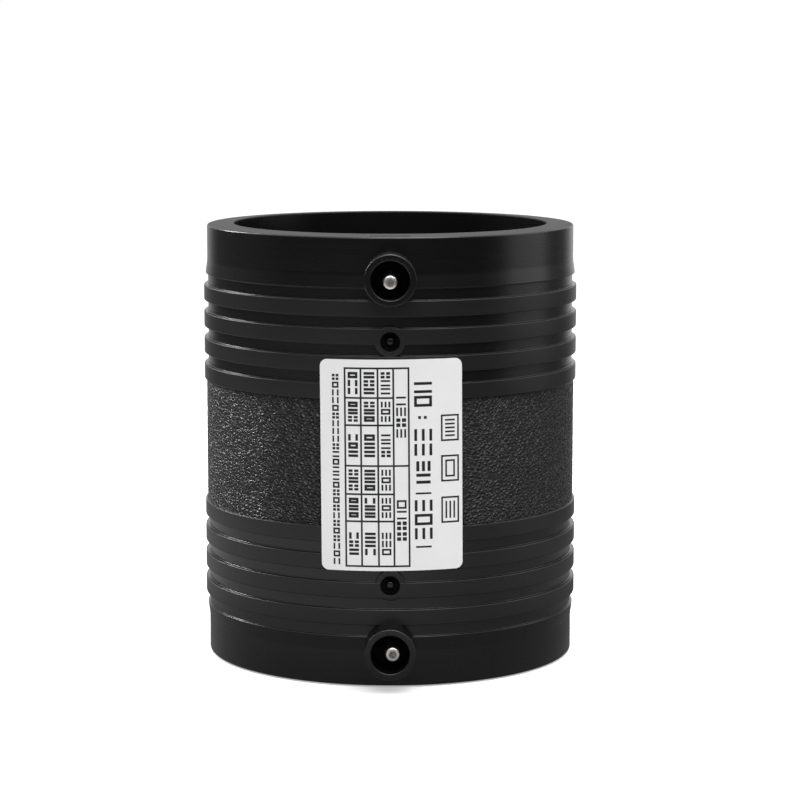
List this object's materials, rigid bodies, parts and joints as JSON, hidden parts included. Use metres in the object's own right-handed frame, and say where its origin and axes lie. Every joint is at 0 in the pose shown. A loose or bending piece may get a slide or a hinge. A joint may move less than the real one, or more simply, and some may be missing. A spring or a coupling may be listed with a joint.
{
  "type": "electrofusion coupler",
  "caption": "Black polyethylene electrofusion coupler that welds two pipe ends, with ribbed sockets, shrouded heating terminals and fusion indicators.",
  "frame": {"origin": "on the coupler's axis, in the plane of the lower mouth", "axes": "+Z along the axis from the lower mouth to the upper one; the terminals, indicators and label face -Y; +X to the right as seen from the terminals"},
  "size_m": [0.1088, 0.1176, 0.126],
  "materials": {
    "body": "satin black moulded polyethylene, leather grain in the middle zone",
    "wire": "bare drawn resistance wire",
    "pins": "tin plated, lightly polished",
    "label": "white adhesive film with black print"
  },
  "bodies": {
    "root": {"coupler_body": "body", "heating_wire": "wire", "terminal_pin_lower": "pins", "terminal_pin_upper": "pins", "label": "label"}
  },
  "joints": []
}
